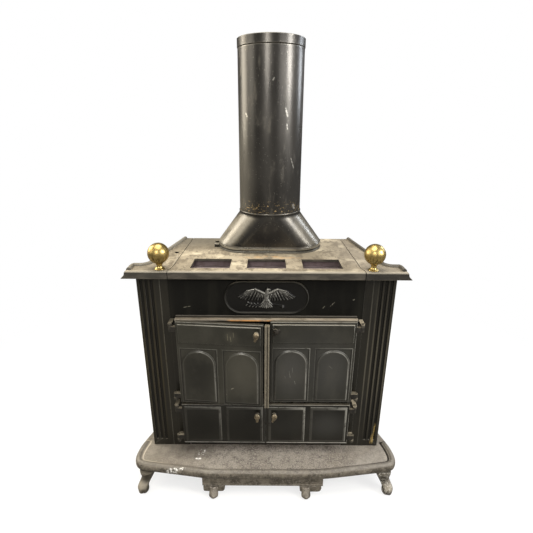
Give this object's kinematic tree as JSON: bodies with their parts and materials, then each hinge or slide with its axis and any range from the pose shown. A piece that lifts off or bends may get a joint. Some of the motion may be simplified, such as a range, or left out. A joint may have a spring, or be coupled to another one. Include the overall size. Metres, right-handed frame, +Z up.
{
  "type": "fireplace stove",
  "caption": "Cast-iron fireplace stove: box body with hinged double doors above and below, curved hearth on short legs, vented top, brass balls, and an oval boot under a round stovepipe.",
  "frame": {"origin": "middle of the bounding box at floor level", "axes": "+Z up, the doors face -Y, +X to the viewer's right"},
  "size_m": [0.9, 0.4706, 1.4166],
  "materials": {
    "black_iron": "old stove black, satin, dusty in the hollows",
    "hearth_iron": "worn and dusty",
    "top_iron": "matt, under pale dust",
    "pipe_steel": "black stove enamel, semi-gloss",
    "handle_iron": "rubbed bright by hands",
    "steel": "dull",
    "brass": "polished once, now tarnished in streaks"
  },
  "bodies": {
    "root": {"hearth_plate": "hearth_iron", "front_skirt": "hearth_iron", "header_panel": "black_iron", "eagle_medallion": "black_iron", "back_panel": "black_iron", "ash_guard": "black_iron", "fire_grate": "black_iron", "top_centre": "top_iron", "top_left": "top_iron", "top_right": "top_iron", "vent_tray": "black_iron", "flue_collar": "black_iron", "collar_bolt": "steel", "flue_boot": "pipe_steel", "stovepipe": "pipe_steel", "bracket_leg_left": "hearth_iron", "corner_leg_left": "hearth_iron", "rear_leg_left": "hearth_iron", "pilaster_left": "black_iron", "side_panel_left": "black_iron", "finial_base_left": "brass", "finial_ball_left": "brass", "hinge_pin_upper_top_left": "steel", "hinge_pin_upper_bottom_left": "steel", "hinge_pin_lower_top_left": "steel", "hinge_pin_lower_bottom_left": "steel", "bracket_leg_right": "hearth_iron", "corner_leg_right": "hearth_iron", "rear_leg_right": "hearth_iron", "pilaster_right": "black_iron", "side_panel_right": "black_iron", "finial_base_right": "brass", "finial_ball_right": "brass", "hinge_pin_upper_top_right": "steel", "hinge_pin_upper_bottom_right": "steel", "hinge_pin_lower_top_right": "steel", "hinge_pin_lower_bottom_right": "steel"},
    "upper_left_door": {"door_upper_left": "black_iron"},
    "upper_left_latch": {"latch_handle_upper_left": "handle_iron", "latch_tongue_upper_left": "black_iron"},
    "upper_right_door": {"door_upper_right": "black_iron"},
    "upper_right_latch": {"latch_handle_upper_right": "handle_iron", "latch_tongue_upper_right": "black_iron"},
    "lower_left_door": {"door_lower_left": "black_iron"},
    "lower_left_latch": {"latch_handle_lower_left": "handle_iron", "latch_tongue_lower_left": "black_iron"},
    "lower_right_door": {"door_lower_right": "black_iron"},
    "lower_right_latch": {"latch_handle_lower_right": "handle_iron", "latch_tongue_lower_right": "black_iron"}
  },
  "joints": [
    {"name": "upper_left_hinge", "type": "hinge", "parent": "root", "child": "upper_left_door", "pos_m": [-0.299, -0.11729, 0.452], "axis": [0, 0, -1], "range_deg": [-4.5, 170.5]},
    {"name": "upper_left_turn", "type": "hinge", "parent": "upper_left_door", "child": "upper_left_latch", "pos_m": [-0.02883, -0.13855, 0.575], "axis": [0.0785, 0.9969, 0], "range_deg": [0, 90]},
    {"name": "upper_right_hinge", "type": "hinge", "parent": "root", "child": "upper_right_door", "pos_m": [0.299, -0.11729, 0.452], "axis": [0, 0, 1], "range_deg": [0, 175]},
    {"name": "upper_right_turn", "type": "hinge", "parent": "upper_right_door", "child": "upper_right_latch", "pos_m": [0.028, -0.11729, 0.575], "axis": [0, -1, 0], "range_deg": [-30, 60]},
    {"name": "lower_left_hinge", "type": "hinge", "parent": "root", "child": "lower_left_door", "pos_m": [-0.299, -0.11729, 0.214], "axis": [0, 0, -1], "range_deg": [0, 175]},
    {"name": "lower_left_turn", "type": "hinge", "parent": "lower_left_door", "child": "lower_left_latch", "pos_m": [-0.028, -0.11729, 0.257], "axis": [0, 1, 0], "range_deg": [0, 90]},
    {"name": "lower_right_hinge", "type": "hinge", "parent": "root", "child": "lower_right_door", "pos_m": [0.299, -0.11729, 0.214], "axis": [0, 0, 1], "range_deg": [0, 175]},
    {"name": "lower_right_turn", "type": "hinge", "parent": "lower_right_door", "child": "lower_right_latch", "pos_m": [0.028, -0.11729, 0.257], "axis": [0, -1, 0], "range_deg": [0, 90]}
  ]
}
